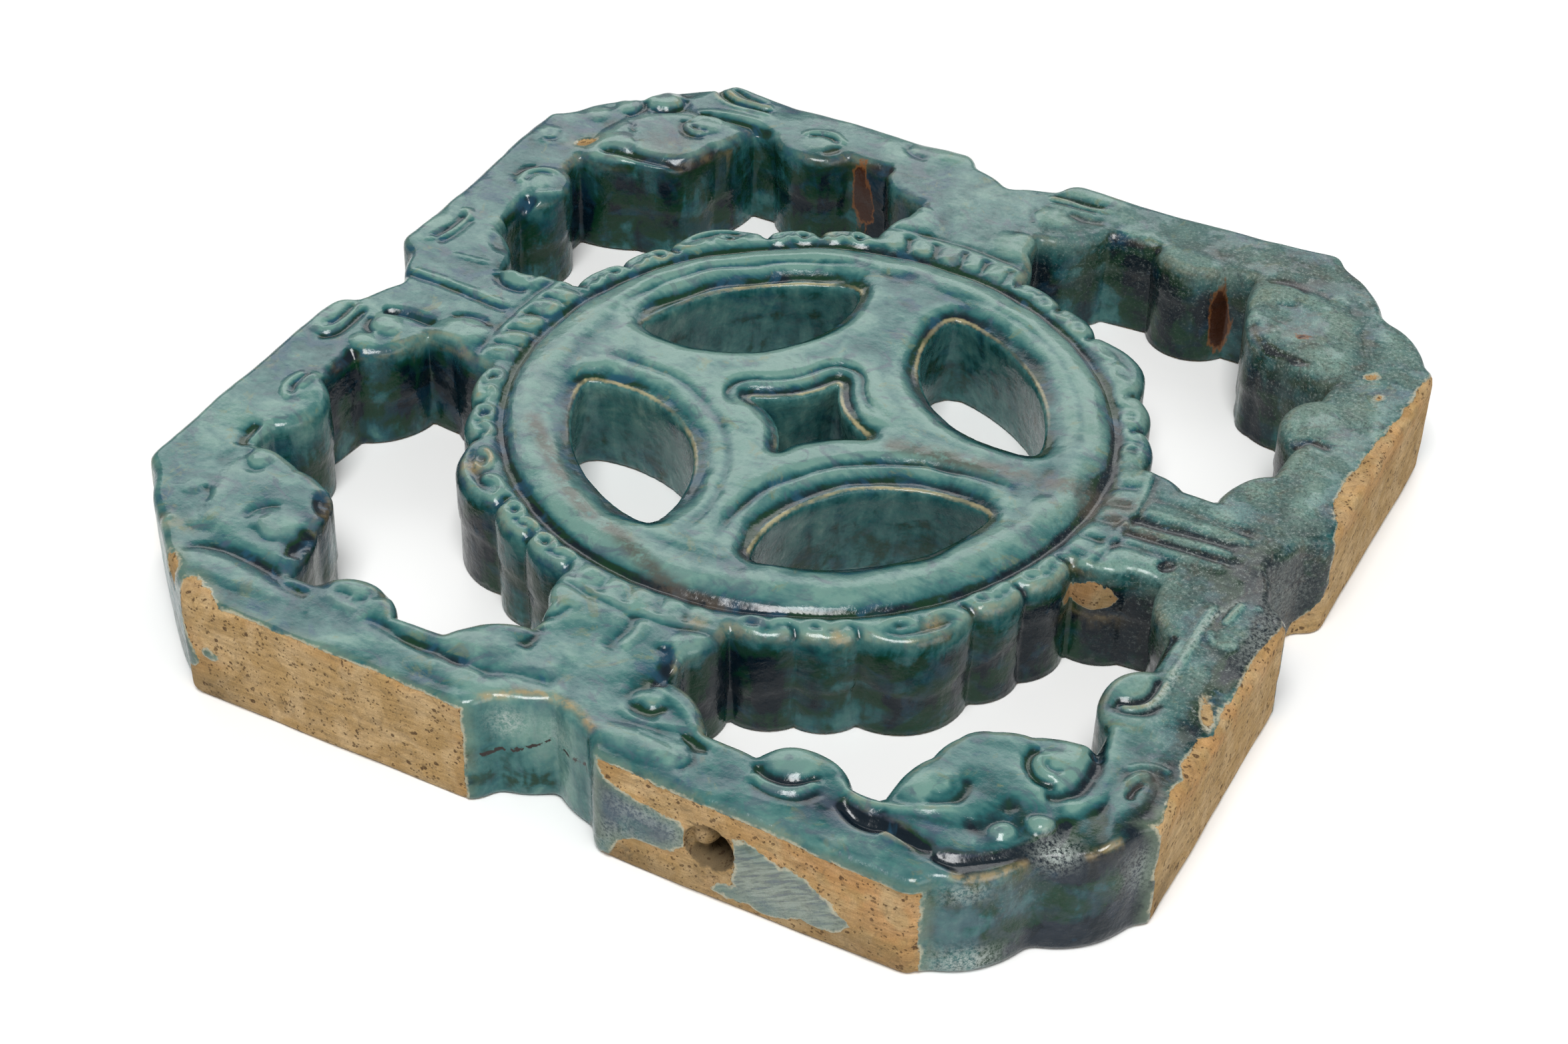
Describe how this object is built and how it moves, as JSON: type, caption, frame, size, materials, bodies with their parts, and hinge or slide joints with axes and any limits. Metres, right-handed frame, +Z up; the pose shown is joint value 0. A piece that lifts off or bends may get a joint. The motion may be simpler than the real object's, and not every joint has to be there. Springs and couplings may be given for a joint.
{
  "type": "stoneware breeze tile",
  "caption": "Square glazed stoneware openwork tile with a pierced coin, lobed border, arms and cloud heads, laid edge to edge to make a ventilating screen or parapet.",
  "frame": {"origin": "middle of the tile's plain back, on the surface that it rests on", "axes": "+Z up through the thickness, towards the carved face; X and Y along the sides, with the side that holds the blind peg hole facing -Y"},
  "size_m": [0.28, 0.28, 0.0345],
  "materials": {
    "teal_glaze": "gloss"
  },
  "bodies": {
    "root": {"breeze_tile": "teal_glaze"}
  },
  "joints": []
}
